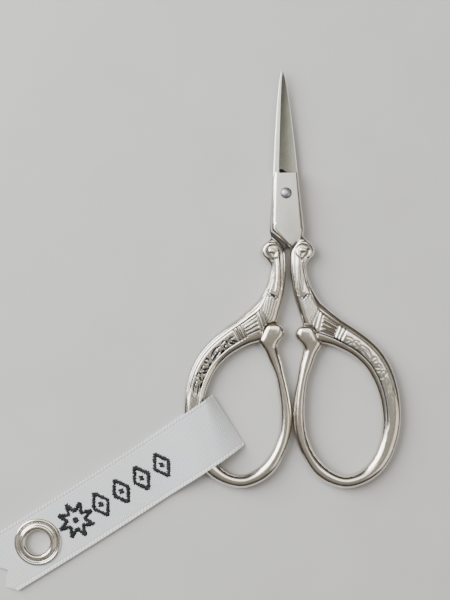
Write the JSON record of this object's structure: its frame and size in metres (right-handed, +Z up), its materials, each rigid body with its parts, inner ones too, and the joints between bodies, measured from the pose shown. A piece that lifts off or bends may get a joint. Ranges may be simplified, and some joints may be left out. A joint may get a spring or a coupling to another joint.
{
  "type": "embroidery scissors",
  "caption": "Small ornate embroidery scissors with scrolled shoulders, relief finger bows, a pivot screw and a folded woven ribbon tag with a metal eyelet.",
  "frame": {"origin": "on the pivot axis, in the flat underside of the back half that the closed scissors rest on", "axes": "+Y along the closed blades towards the tips, +Z up out of the face with the front half, +X towards the front half's bow"},
  "size_m": [0.0967, 0.1163, 0.0042],
  "materials": {
    "nickel_steel": "polished nickel plate, darkened in the recesses of the relief",
    "screw_steel": "peened steel",
    "ribbon_white": "white woven satin ribbon",
    "eyelet_nickel": "pressed nickel-plated brass",
    "black_thread": "black woven thread"
  },
  "bodies": {
    "back": {"back_half": "nickel_steel", "ribbon_loop": "ribbon_white"},
    "front": {"front_half": "nickel_steel", "pivot_screw": "screw_steel"},
    "tag": {"ribbon_tail": "ribbon_white", "eyelet": "eyelet_nickel", "eyelet_washer": "eyelet_nickel", "woven_motifs": "black_thread"}
  },
  "joints": [
    {"name": "pivot", "type": "hinge", "parent": "back", "child": "front", "pos_m": [0, 0, 0], "axis": [0, 0, 1], "range_deg": [0, 120]},
    {"name": "tag_bend", "type": "hinge", "parent": "back", "child": "tag", "pos_m": [-0.02714, -0.05852, 0.00235], "axis": [-0.515, 0.8572, 0], "range_deg": [0, 120]}
  ]
}
